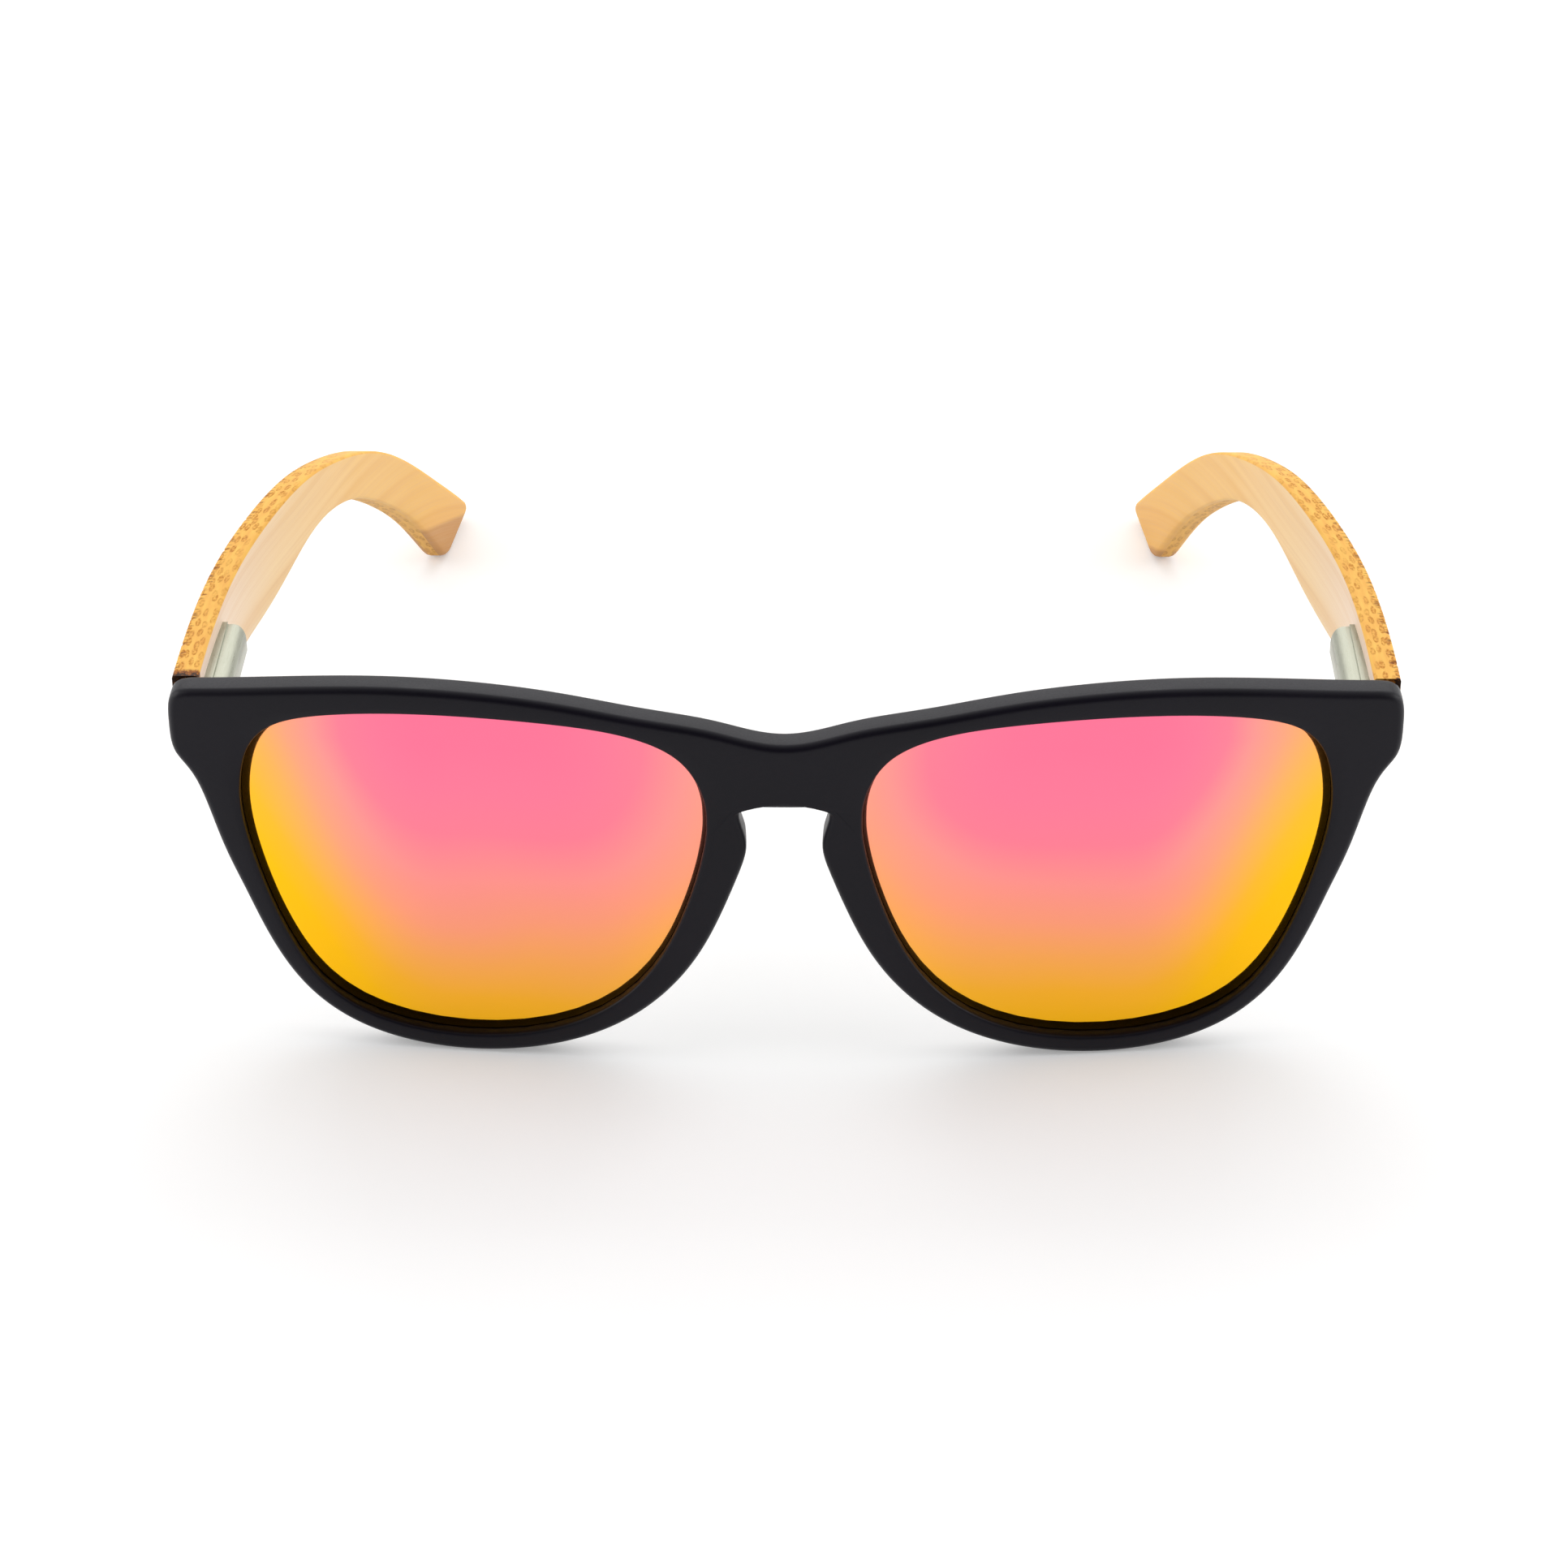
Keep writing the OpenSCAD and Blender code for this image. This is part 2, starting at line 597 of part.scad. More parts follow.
// Slider: the middle knuckle, a block that runs in the case's mouth, and the stem
module hinge_slider(side) {
  stem_y = block_end_y - block_l / 6;
  color(nickel)
    for_side(side)
      difference() {
        union() {
          translate([pin_x, pin_y, hinge_z - mid_knuckle_h / 2])
            cylinder(r = knuckle_r, h = mid_knuckle_h, $fn = round_fn);
          block(block_w, block_h, pin_y, block_end_y - pin_y);
          bar(stem_r, stem_y, nut_y + nut_l - stem_y);
        }
        translate([pin_x, pin_y, hinge_z - mid_knuckle_h])
          cylinder(r = knuckle_bore_r, h = 2 * mid_knuckle_h, $fn = round_fn);
      }
}

// Nut on the end of the stem, which the spring pushes back
module stem_nut(side) {
  color(nickel)
    for_side(side)
      difference() {
        bar(bore_r - nut_fit, nut_y, nut_l);
        bar(stem_r + tight_fit, nut_y - cut_past, nut_l + 2 * cut_past);
      }
}

// Bush locked in the bore: the stem slides through it and the spring stands on it
module stop_bush(side) {
  color(nickel)
    for_side(side)
      difference() {
        bar(bore_r - bush_fit, bush_y, bush_l);
        bar(stem_r + run_fit, bush_y - cut_past, bush_l + 2 * cut_past);
        bush_pin_bar(tight_fit);
      }
}

// Pin that locks the bush in the case
module bush_pin(side) {
  color(spring_steel) for_side(side) bush_pin_bar(0);
}

// Coil spring on the stem, as one tube swept along a helix
module coil_spring(side) {
  sides = 6;
  rings = 12 * spring_turns;
  rise = spring_l - 2 * wire_r;
  slope = atan(rise / (spring_turns * 360 * coil_r * PI / 180));
  function wire_point(i, j) =
    let (turn = 360 * spring_turns * i / rings, a = 360 * j / sides,
         out = coil_r + wire_r * cos(a), up = wire_r * sin(a))
    [out * cos(turn) + up * sin(slope) * sin(turn),
     wire_r + rise * i / rings + up * cos(slope),
     out * sin(turn) - up * sin(slope) * cos(turn)];
  wire_points = [for (i = [0 : rings]) for (j = [0 : sides - 1]) wire_point(i, j)];
  wire_faces = concat(
    [[for (j = [0 : sides - 1]) j]],
    [for (i = [0 : rings - 1]) for (j = [0 : sides - 1])
      let (a = i * sides + j, b = i * sides + (j + 1) % sides)
      each [[a, a + sides, b], [b, a + sides, b + sides]]],
    [[for (j = [sides - 1 : -1 : 0]) rings * sides + j]]);
  color(spring_steel)
    for_side(side)
      translate([bore_x, spring_y, hinge_z])
        polyhedron(points = wire_points, faces = wire_faces, convexity = 10);
}

front_frame();
lens(1);  // lens_left
lens(-1);  // lens_right
temple(1);  // temple_left
temple(-1);  // temple_right
hinge_plate(1);  // hinge_plate_left
hinge_plate(-1);  // hinge_plate_right
hinge_screw(1);  // hinge_screw_left
hinge_screw(-1);  // hinge_screw_right
hinge_slider(1);  // hinge_slider_left
hinge_slider(-1);  // hinge_slider_right
stem_nut(1);  // stem_nut_left
stem_nut(-1);  // stem_nut_right
coil_spring(1);  // coil_spring_left
coil_spring(-1);  // coil_spring_right
stop_bush(1);  // stop_bush_left
stop_bush(-1);  // stop_bush_right
bush_pin(1);  // bush_pin_left
bush_pin(-1);  // bush_pin_right
spring_case(1);  // spring_case_left
spring_case(-1);  // spring_case_right
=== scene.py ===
import math
import random

import bmesh
import bpy
import numpy as np
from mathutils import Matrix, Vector


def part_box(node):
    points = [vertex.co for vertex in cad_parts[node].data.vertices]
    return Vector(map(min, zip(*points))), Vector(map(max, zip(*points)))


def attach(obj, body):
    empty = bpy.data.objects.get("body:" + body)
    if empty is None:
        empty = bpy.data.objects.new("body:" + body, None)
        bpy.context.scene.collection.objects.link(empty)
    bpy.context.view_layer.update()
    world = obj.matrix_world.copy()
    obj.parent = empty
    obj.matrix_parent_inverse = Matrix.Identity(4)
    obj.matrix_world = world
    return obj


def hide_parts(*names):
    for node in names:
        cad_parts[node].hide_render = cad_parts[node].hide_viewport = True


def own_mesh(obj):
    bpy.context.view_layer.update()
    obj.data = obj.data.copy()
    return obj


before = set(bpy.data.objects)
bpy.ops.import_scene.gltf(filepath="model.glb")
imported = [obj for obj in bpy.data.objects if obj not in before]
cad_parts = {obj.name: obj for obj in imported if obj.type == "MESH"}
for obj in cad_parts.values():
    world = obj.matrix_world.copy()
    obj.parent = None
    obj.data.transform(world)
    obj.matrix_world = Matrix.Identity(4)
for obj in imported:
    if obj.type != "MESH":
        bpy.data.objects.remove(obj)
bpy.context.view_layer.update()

# Front
# One moulding in black plastic, blasted to a matt skin: two grooved rims, brow, keyhole bridge, nose pads
# and end pieces. The mould rounds every edge, and only the grooves and the hinge seats stay sharp.
MM = 0.001
weld_reach = 0.001 * MM
skin_weld_reach = 0.0005 * MM
front_sharp_angle = math.radians(55)
front_cuts = 4
front_grain = 0.22 * MM
front_grain_depth = 0.012 * MM
front_cloud = 14 * MM
front_roughness = (0.34, 0.44)


def merged(node):
    """A copy of a node's solid whose loose triangles share their corners."""
    solid = bmesh.new()
    solid.from_mesh(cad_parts[node].data)
    bmesh.ops.remove_doubles(solid, verts=solid.verts, dist=weld_reach)
    return solid


def creased(solid, angle):
    """Marks the edges that turn by the given angle or more as sharp."""
    for edge in solid.edges:
        edge.smooth = edge.calc_face_angle(0.0) < angle


def finished(solid, name, *materials):
    """Turns a bmesh into a smooth piece of the object."""
    for face in solid.faces:
        face.smooth = True
    mesh = bpy.data.meshes.new(name)
    solid.to_mesh(mesh)
    solid.free()
    for material in materials:
        mesh.materials.append(material)
    piece = bpy.data.objects.new(name, mesh)
    bpy.context.scene.collection.objects.link(piece)
    return piece


def fit(piece, body, node):
    """Puts a piece on its body, in place of the node that it stands for."""
    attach(piece, body)
    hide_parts(node)


def paint(red, green, blue):
    """A colour as seen on a screen, 0 to 255, as the linear values that a shader takes."""
    shares = [channel / 255 for channel in (red, green, blue)]
    return [s / 12.92 if s <= 0.04045 else ((s + 0.055) / 1.055) ** 2.4 for s in shares] + [1.0]


def finish_named(name, **constants):
    """A new material with its tree and its main shader, whose plain sockets are set here."""
    material = bpy.data.materials.new(name)
    material.use_nodes = True
    tree = material.node_tree
    shader = tree.nodes["Principled BSDF"]
    for socket, value in constants.items():
        shader.inputs[socket.replace("_", " ")].default_value = value
    return material, tree, shader


def add(tree, kind, inputs, **settings):
    """Adds a node; each input takes a value, or the output of another node."""
    node = tree.nodes.new(kind)
    for name, value in settings.items():
        setattr(node, name, value)
    for name, value in inputs.items():
        if isinstance(value, bpy.types.NodeSocket):
            tree.links.new(value, node.inputs[name])
        else:
            node.inputs[name].default_value = value
    return node


def stepped(tree, coordinates, size):
    """Coordinates counted in steps of the given size along each axis."""
    counts = [1 / step for step in size]
    return add(tree, "ShaderNodeMapping", {"Vector": coordinates, "Scale": counts}).outputs["Vector"]


def place(tree, size, source="Object"):
    """A piece's own coordinates, counted in steps of the given size."""
    return stepped(tree, add(tree, "ShaderNodeTexCoord", {}).outputs[source], size)


def noise(tree, coordinates, detail=2.0, roughness=0.5):
    """A cloudy pattern between 0 and 1, about one cloud to a step."""
    node = add(tree, "ShaderNodeTexNoise",
               {"Vector": coordinates, "Scale": 1.0, "Detail": detail, "Roughness": roughness})
    return node.outputs["Fac"]


def between(tree, value, low, high, from_low=0.3, from_high=0.7, way="LINEAR"):
    """Spreads a value over a new range."""
    node = add(tree, "ShaderNodeMapRange", {"Value": value, "From Min": from_low, "From Max": from_high,
                                            "To Min": low, "To Max": high}, interpolation_type=way)
    return node.outputs["Result"]


def ramp(tree, value, *stops):
    """A colour for each stretch of a value; each stop is a place and a colour."""
    node = add(tree, "ShaderNodeValToRGB", {"Fac": value})
    points = node.color_ramp.elements
    while len(points) < len(stops):
        points.new(1.0)
    for point, (position, colour) in zip(points, stops):
        point.position = position
        point.color = colour
    return node.outputs["Color"]


def dressed(tree, shader, colour, roughness):
    """Gives a shader the patterns of its colour and of its roughness."""
    tree.links.new(colour, shader.inputs["Base Color"])
    tree.links.new(roughness, shader.inputs["Roughness"])


def bumped(tree, shader, height, depth, strength):
    """Raises the surface by a height pattern, as deep as the given distance."""
    node = add(tree, "ShaderNodeBump", {"Height": height, "Distance": depth, "Strength": strength})
    tree.links.new(node.outputs["Normal"], shader.inputs["Normal"])


def corner_normals(solid):
    """The normal at each corner of each face, shared by faces that meet there without a sharp edge."""
    normals = {}
    for vertex in solid.verts:
        left = list(vertex.link_loops)
        while left:
            fan = [left.pop()]
            total = Vector()
            for loop in fan:
                total += loop.face.normal * loop.face.calc_area()
                smooth_faces = {face for edge in (loop.edge, loop.link_loop_prev.edge) if edge.smooth
                                for face in edge.link_faces}
                joined = [other for other in left if other.face in smooth_faces]
                left = [other for other in left if other not in joined]
                fan += joined
            for loop in fan:
                normals[loop] = total.normalized()
    return normals


def swollen(solid, cuts):
    """A finer copy of a solid of triangles, whose faces swell into arcs between the corners they had."""
    normals = corner_normals(solid)
    fine = bmesh.new()
    for face in solid.faces:
        corners = [loop.vert.co for loop in face.loops]
        swells = []
        for loop in face.loops:
            ahead = loop.link_loop_next
            across = ahead.vert.co - loop.vert.co
            bend = normals[ahead] * across.dot(normals[ahead]) - normals[loop] * across.dot(normals[loop])
            swells.append(bend / 2 if loop.edge.smooth else Vector())
        grid = {}
        for i in range(cuts + 1):
            for j in range(cuts + 1 - i):
                shares = (i / cuts, j / cuts, 1 - (i + j) / cuts)
                point = sum((share * corner for share, corner in zip(shares, corners)), Vector())
                for k, swell in enumerate(swells):
                    point += shares[k] * shares[(k + 1) % 3] * swell
                grid[i, j] = fine.verts.new(point)
        for i in range(cuts):
            for j in range(cuts - i):
                fine.faces.new((grid[i, j], grid[i + 1, j], grid[i, j + 1]))
                if i + j + 2 <= cuts:
                    fine.faces.new((grid[i + 1, j], grid[i + 1, j + 1], grid[i, j + 1]))
    solid.free()
    bmesh.ops.remove_doubles(fine, verts=fine.verts, dist=skin_weld_reach)
    return fine


def matt_plastic():
    """Black with a breath of blue, a fine blasted grain and slight clouds in its tone."""
    material, tree, shader = finish_named("matt_black_plastic", Specular_IOR_Level=0.2)
    skin = noise(tree, place(tree, [front_grain] * 3), 3.0, 0.6)
    clouds = noise(tree, place(tree, [front_cloud] * 3), 2.0)
    colour = ramp(tree, clouds, (0.35, paint(10, 7, 18)), (0.65, paint(14, 10, 22)))
    dressed(tree, shader, colour, between(tree, skin, *front_roughness))
    bumped(tree, shader, skin, front_grain_depth, 0.6)
    return material


solid = merged("front_frame")
creased(solid, front_sharp_angle)
solid = swollen(solid, front_cuts)
low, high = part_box("front_frame")
for vertex in solid.verts:
    vertex.co = [min(max(c, least), most) for c, least, most in zip(vertex.co, low, high)]
solid.normal_update()
creased(solid, front_sharp_angle)
front = finished(solid, "front", matt_plastic())
fit(front, "front", "front_frame")

# Lenses
# Each lens is a thin shell cut from a moulded ball of tinted plastic and snapped into its rim's groove.
# Its front has a vapour-laid mirror coat that turns from pink to amber, its back is plain dark smoke.
lens_rings = 14
lens_bevel = 0.12 * MM
lens_facing = 0.5
pink_nose, pink_out, pink_low = 30 * MM, 40 * MM, 41.5 * MM
coat_span = 26 * MM
turn_out, turn_nose, turn_down = 0.98 * coat_span, 0.73 * coat_span, 0.87 * pink_low
out_across, out_down = 0.87, 0.6
coat_reach = 36 * MM
coat_waver, waver_size = 1.2 * MM, 26 * MM
haze_size = 5 * MM
coat_roughness = (0.05, 0.11)
tint_cloud = 30 * MM
tint_roughness = (0.08, 0.14)


def ball_through(points):
    """Middle and radius of the ball that fits the points best."""
    rows = np.hstack([2 * points, np.ones((len(points), 1))])
    x, y, z, rest = np.linalg.lstsq(rows, (points ** 2).sum(1), rcond=None)[0]
    return Vector((x, y, z)), math.sqrt(rest + x * x + y * y + z * z)


def lens_ball(cut, way):
    """The ball that a lens's front (way -1) or back (way 1) lies on."""
    faces = [face for face in cut.faces if way * face.normal.y > lens_facing]
    return ball_through(np.array([list(vertex.co) for face in faces for vertex in face.verts]))


def outline_of(cut):
    """The corners round a lens, in order, where its front meets its edge."""
    loop = {}
    for edge in cut.edges:
        faces = sorted(edge.link_faces, key=lambda face: face.normal.y)
        if len(faces) == 2 and faces[0].normal.y < -lens_facing and abs(faces[1].normal.y) < lens_facing:
            for here, there in (edge.verts, reversed(edge.verts)):
                loop.setdefault(here, []).append(there)
    corner = next(iter(loop))
    corners = [corner]
    before = None
    while True:
        ahead = next(v for v in loop[corner] if v is not before)
        if ahead is corners[0]:
            return [v.co.copy() for v in corners]
        corners.append(ahead)
        before, corner = corner, ahead


def shell_ring(ball, outline, centre, share):
    """One ring of points on a ball's face, the outline drawn in to a share of its size."""
    middle, radius = ball
    ring = []
    for corner in outline:
        x = centre.x + share * (corner.x - centre.x)
        z = centre.z + share * (corner.z - centre.z)
        y = middle.y - math.sqrt(radius ** 2 - (x - middle.x) ** 2 - (z - middle.z) ** 2)
        ring.append(Vector((x, y, z)))
    return ring


def walled(solid, rings, material):
    """Quads between rings of corners that follow each other."""
    for first, second in zip(rings, rings[1:]):
        count = len(first)
        for i in range(count):
            j = (i + 1) % count
            face = solid.faces.new((first[i], first[j], second[j], second[i]))
            face.material_index = material


def axes(tree, source="Object"):
    """A piece's own coordinates, each axis by itself."""
    where = add(tree, "ShaderNodeTexCoord", {}).outputs[source]
    return add(tree, "ShaderNodeSeparateXYZ", {"Vector": where}).outputs


def maths(tree, operation, *values):
    """The result of a sum on numbers or on the outputs of other nodes."""
    return add(tree, "ShaderNodeMath", dict(enumerate(values)), operation=operation).outputs["Value"]


def mirror_coat():
    """Pink in a bar under the brow, and amber with the distance from it, fastest outwards and down."""
    material, tree, shader = finish_named("mirror_coat", Metallic=1.0, Coat_Weight=0.2, Coat_Roughness=0.03)
    at = axes(tree)
    aside = maths(tree, "ABSOLUTE", at["X"])
    outwards = between(tree, aside, 0.0, turn_out, pink_out, pink_out + coat_span, "SMOOTHSTEP")
    to_nose = between(tree, aside, turn_nose, 0.0, pink_nose - coat_span, pink_nose, "SMOOTHSTEP")
    downwards = between(tree, at["Z"], turn_down, 0.0, 0.0, pink_low)
    across = maths(tree, "MULTIPLY_ADD", outwards, out_across, to_nose)
    down = maths(tree, "MULTIPLY_ADD", outwards, out_down, downwards)
    offset = add(tree, "ShaderNodeCombineXYZ", {"X": across, "Z": down}).outputs["Vector"]
    away = add(tree, "ShaderNodeVectorMath", {0: offset}, operation="LENGTH").outputs["Value"]
    waver = between(tree, noise(tree, place(tree, [waver_size] * 3), 1.0), -coat_waver, coat_waver)
    turned = between(tree, maths(tree, "ADD", away, waver), 0.0, 1.0, 0.0, coat_reach)
    colour = ramp(tree, turned,
                  (0.0, paint(244, 112, 145)), (0.14, paint(244, 117, 146)), (0.28, paint(246, 123, 144)),
                  (0.42, paint(252, 146, 139)), (0.56, paint(255, 158, 122)), (0.69, paint(255, 172, 90)),
                  (0.83, paint(255, 184, 42)), (0.96, paint(255, 191, 0)))
    haze = noise(tree, place(tree, [haze_size] * 3), 3.0)
    dressed(tree, shader, colour, between(tree, haze, *coat_roughness))
    return material


def smoke_tint():
    """Dark warm grey with a soft shine, a little uneven in depth."""
    material, tree, shader = finish_named("smoke_tint", Coat_Weight=0.6, Coat_Roughness=0.04)
    depth = noise(tree, place(tree, [tint_cloud] * 3), 1.0)
    colour = ramp(tree, depth, (0.35, paint(38, 30, 28)), (0.65, paint(48, 38, 34)))
    dressed(tree, shader, colour, between(tree, depth, *tint_roughness))
    return material


coat = mirror_coat()
tint = smoke_tint()
for side in ("left", "right"):
    cut = merged(f"lens_{side}")
    outline = outline_of(cut)
    front_ball = lens_ball(cut, -1)
    back_ball = lens_ball(cut, 1)
    cut.free()
    centre = sum(outline, Vector()) / len(outline)
    size = max((corner - centre).length for corner in outline)
    shares = [(k + 1) / lens_rings * (1 - lens_bevel / size) for k in range(lens_rings)]
    bevel = Vector((0, lens_bevel, 0))
    front_points = [shell_ring(front_ball, outline, centre, share) for share in shares]
    front_points.append([point + bevel for point in shell_ring(front_ball, outline, centre, 1)])
    back_points = [[point - bevel for point in shell_ring(back_ball, outline, centre, 1)]]
    back_points += [shell_ring(back_ball, outline, centre, share) for share in reversed(shares)]
    solid = bmesh.new()
    front_rings = [[solid.verts.new(point) for point in ring] for ring in front_points]
    back_rings = [[solid.verts.new(point) for point in ring] for ring in back_points]
    walled(solid, front_rings, 0)
    walled(solid, [front_rings[-1]] + back_rings, 1)
    for ring, ball, material in ((front_rings[0], front_ball, 0), (back_rings[-1], back_ball, 1)):
        pole = solid.verts.new(shell_ring(ball, [centre], centre, 0)[0])
        for i, corner in enumerate(ring):
            solid.faces.new((pole, corner, ring[i - 1])).material_index = material
    bmesh.ops.recalc_face_normals(solid, faces=solid.faces)
    lens = finished(solid, f"mirror_lens_{side}", coat, tint)
    fit(lens, "front", f"lens_{side}")

# Hinge plates
# The front leaf of each spring hinge: a stamped plate with two knuckles on a tongue that is moulded into
# the end piece. It is nickel-plated brass, tumbled before plating, so its edges are a little rounded.
plate_edge = 0.12 * MM
flat_angle = math.radians(1)
metal_sharp_angle = math.radians(30)
metal_round_angle = math.radians(40)
scratch_size = (0.16 * MM, 2.4 * MM, 0.16 * MM)
scratch_depth = 0.002 * MM
nickel_roughness = (0.26, 0.36)


def nickel():
    """A warm grey plating with fine scratches along the hinge."""
    material, tree, shader = finish_named("nickel_plate", Metallic=1.0)
    scratches = noise(tree, place(tree, scratch_size), 4.0, 0.65)
    colour = ramp(tree, scratches, (0.3, paint(152, 153, 137)), (0.7, paint(168, 169, 154)))
    dressed(tree, shader, colour, between(tree, scratches, *nickel_roughness))
    bumped(tree, shader, scratches, scratch_depth, 0.4)
    return material


def turned_metal(node, name, material, edge, segments=2):
    """A copy of a metal piece with flat faces joined up and all its sharp edges rounded."""
    solid = merged(node)
    bmesh.ops.dissolve_limit(solid, angle_limit=flat_angle, verts=solid.verts, edges=solid.edges)
    creased(solid, metal_sharp_angle)
    piece = finished(solid, name, material)
    rounding = piece.modifiers.new("rounded_edges", "BEVEL")
    rounding.width = edge
    rounding.segments = segments
    rounding.limit_method = "ANGLE"
    rounding.angle_limit = metal_round_angle
    rounding.harden_normals = True
    return piece


plated = nickel()
for side in ("left", "right"):
    plate = turned_metal(f"hinge_plate_{side}", f"front_leaf_{side}", plated, plate_edge)
    fit(plate, "front", f"hinge_plate_{side}")

# Hinge screws
# A slotted screw runs down through the three knuckles of each hinge and is its pin. It is turned from
# brass rod and nickel plated.
screw_edge = 0.08 * MM
for side in ("left", "right"):
    screw = turned_metal(f"hinge_screw_{side}", f"slotted_screw_{side}", plated, screw_edge)
    fit(screw, f"{side}_pin", f"hinge_screw_{side}")

# Sliders and their nuts
# The middle knuckle is one piece with a block that slides in the mouth of the spring case and a stem that
# runs through the spring. A nut on the stem's end holds the spring. Both are nickel-plated brass.
slider_edge = 0.08 * MM
for side in ("left", "right"):
    for node, name in (("hinge_slider", "middle_knuckle"), ("stem_nut", "round_nut")):
        slider = turned_metal(f"{node}_{side}", f"{name}_{side}", plated, slider_edge)
        fit(slider, f"{side}_slider", f"{node}_{side}")

# Coil springs
# A spring of drawn steel wire sits on each stem, between the bush and the nut, and is pressed together
# when the temple is pushed outwards.
spring_turns = 5
wire_r = 0.2 * MM
wire_sides = 10
steps_per_turn = 32
draw_line_size = (0.5 * MM, 0.05 * MM, 0.5 * MM)
steel_roughness = (0.24, 0.38)


def drawn_steel():
    """Bright grey wire with the fine lines of the drawing die."""
    material, tree, shader = finish_named("drawn_steel", Metallic=1.0)
    lines = noise(tree, place(tree, draw_line_size), 3.0)
    colour = ramp(tree, lines, (0.3, paint(150, 150, 154)), (0.7, paint(186, 186, 190)))
    dressed(tree, shader, colour, between(tree, lines, *steel_roughness))
    return material


def coil_tree(material):
    """Geometry nodes: a helix along Y, given its wire, with named inputs for its sizes."""
    tree = bpy.data.node_groups.new("coil_of_wire", "GeometryNodeTree")
    sockets = {}
    for name, kind in (("Turns", "NodeSocketFloat"), ("Coil Radius", "NodeSocketFloat"),
                       ("Rise", "NodeSocketFloat"), ("Wire Radius", "NodeSocketFloat"),
                       ("Start", "NodeSocketVector")):
        sockets[name] = tree.interface.new_socket(name, in_out="INPUT", socket_type=kind).identifier
    tree.interface.new_socket("Geometry", in_out="OUTPUT", socket_type="NodeSocketGeometry")
    sizes = tree.nodes.new("NodeGroupInput").outputs
    helix = add(tree, "GeometryNodeCurveSpiral",
                {"Resolution": steps_per_turn, "Rotations": sizes["Turns"], "Height": sizes["Rise"],
                 "Start Radius": sizes["Coil Radius"], "End Radius": sizes["Coil Radius"]})
    wire = add(tree, "GeometryNodeCurvePrimitiveCircle",
               {"Resolution": wire_sides, "Radius": sizes["Wire Radius"]})
    tube = add(tree, "GeometryNodeCurveToMesh",
               {"Curve": helix.outputs["Curve"], "Profile Curve": wire.outputs["Curve"], "Fill Caps": True})
    turned = add(tree, "GeometryNodeTransform",
                 {"Geometry": tube.outputs["Mesh"], "Translation": sizes["Start"],
                  "Rotation": (-math.pi / 2, 0.0, 0.0)})
    single = add(tree, "GeometryNodeRealizeInstances", {"Geometry": turned.outputs["Geometry"]})
    painted = add(tree, "GeometryNodeSetMaterial",
                  {"Geometry": single.outputs["Geometry"], "Material": material})
    out = tree.nodes.new("NodeGroupOutput")
    tree.links.new(painted.outputs["Geometry"], out.inputs["Geometry"])
    return tree, sockets


def grown(tree, sockets, name, **sizes):
    """Runs a geometry node tree with the given sizes and keeps the result as a plain mesh."""
    holder = bpy.data.objects.new(name, bpy.data.meshes.new(name))
    bpy.context.scene.collection.objects.link(holder)
    modifier = holder.modifiers.new("nodes", "NODES")
    modifier.node_group = tree
    for size, value in sizes.items():
        modifier[sockets[size.replace("_", " ")]] = value
    graph = bpy.context.evaluated_depsgraph_get()
    mesh = bpy.data.meshes.new_from_object(holder.evaluated_get(graph))
    holder.modifiers.remove(modifier)
    holder.data = mesh
    return holder


steel = drawn_steel()
wire_tree, wire_sockets = coil_tree(steel)
for side in ("left", "right"):
    low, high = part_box(f"coil_spring_{side}")
    middle = (low + high) / 2
    start = Vector((middle.x, low.y + wire_r, middle.z))
    spring = grown(wire_tree, wire_sockets, f"wire_spring_{side}", Turns=float(spring_turns),
                   Coil_Radius=(high.z - low.z) / 2 - wire_r, Rise=high.y - low.y - 2 * wire_r,
                   Wire_Radius=wire_r, Start=start)
    spring.data.polygons.foreach_set("use_smooth", [True] * len(spring.data.polygons))
    fit(spring, f"{side}_temple", f"coil_spring_{side}")
    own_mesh(spring)

# Stop bushes and their pins
# The plated bush that the spring stands on is pressed into the case's bore and locked by a steel pin, which
# is driven in from the side that the bamboo covers.
bush_edge = 0.08 * MM
for side in ("left", "right"):
    bush = turned_metal(f"stop_bush_{side}", f"pressed_bush_{side}", plated, bush_edge)
    fit(bush, f"{side}_temple", f"stop_bush_{side}")
    pin = turned_metal(f"bush_pin_{side}", f"lock_pin_{side}", steel, bush_edge)
    fit(pin, f"{side}_temple", f"bush_pin_{side}")

# Spring cases
# The case of each spring hinge is a drawn block, nickel plated, bored for the spring and let into the
# temple's inner face on two studs. Its inner edges and its rear corner are rounded over.
case_edge = 0.2 * MM
case_segments = 4
for side in ("left", "right"):
    case = turned_metal(f"spring_case_{side}", f"hinge_case_{side}", plated, case_edge, case_segments)
    fit(case, f"{side}_temple", f"spring_case_{side}")

# Temples
# Each temple is sawn from a strip of laminated bamboo, bent inwards with steam, sanded and oiled. Its flanks
# show straight grain and its sawn edges the brown ends of the fibres. The saw has left small nicks along the
# outer edge and a scorched butt.
station_step = 0.3 * MM
butt_gap, tip_gap = 0.01 * MM, 0.1 * MM
temple_corner, tip_corner = 0.35 * MM, 0.9 * MM
worn_from, worn_over = 30 * MM, 25 * MM
corner_most = 0.45
corner_steps, flank_steps, edge_steps = 3, 8, 5
temple_sharp_angle = math.radians(50)
smooth_reach, arch_reach, heel_reach = 4 * MM, 10 * MM, 5 * MM
tip_round, tip_least = 3.2 * MM, 0.25 * MM
nick_count = 26
nick_start, nick_run = 2 * MM, 62 * MM
nick_depth, nick_least = 0.4 * MM, 0.3
nick_in, nick_open = 0.6, 0.5
nick_scorch = 0.5
scorch_reach = {"left": 0.45 * MM, "right": 1.9 * MM}
scorch_width = {"left": 0.8 * MM, "right": 9 * MM}
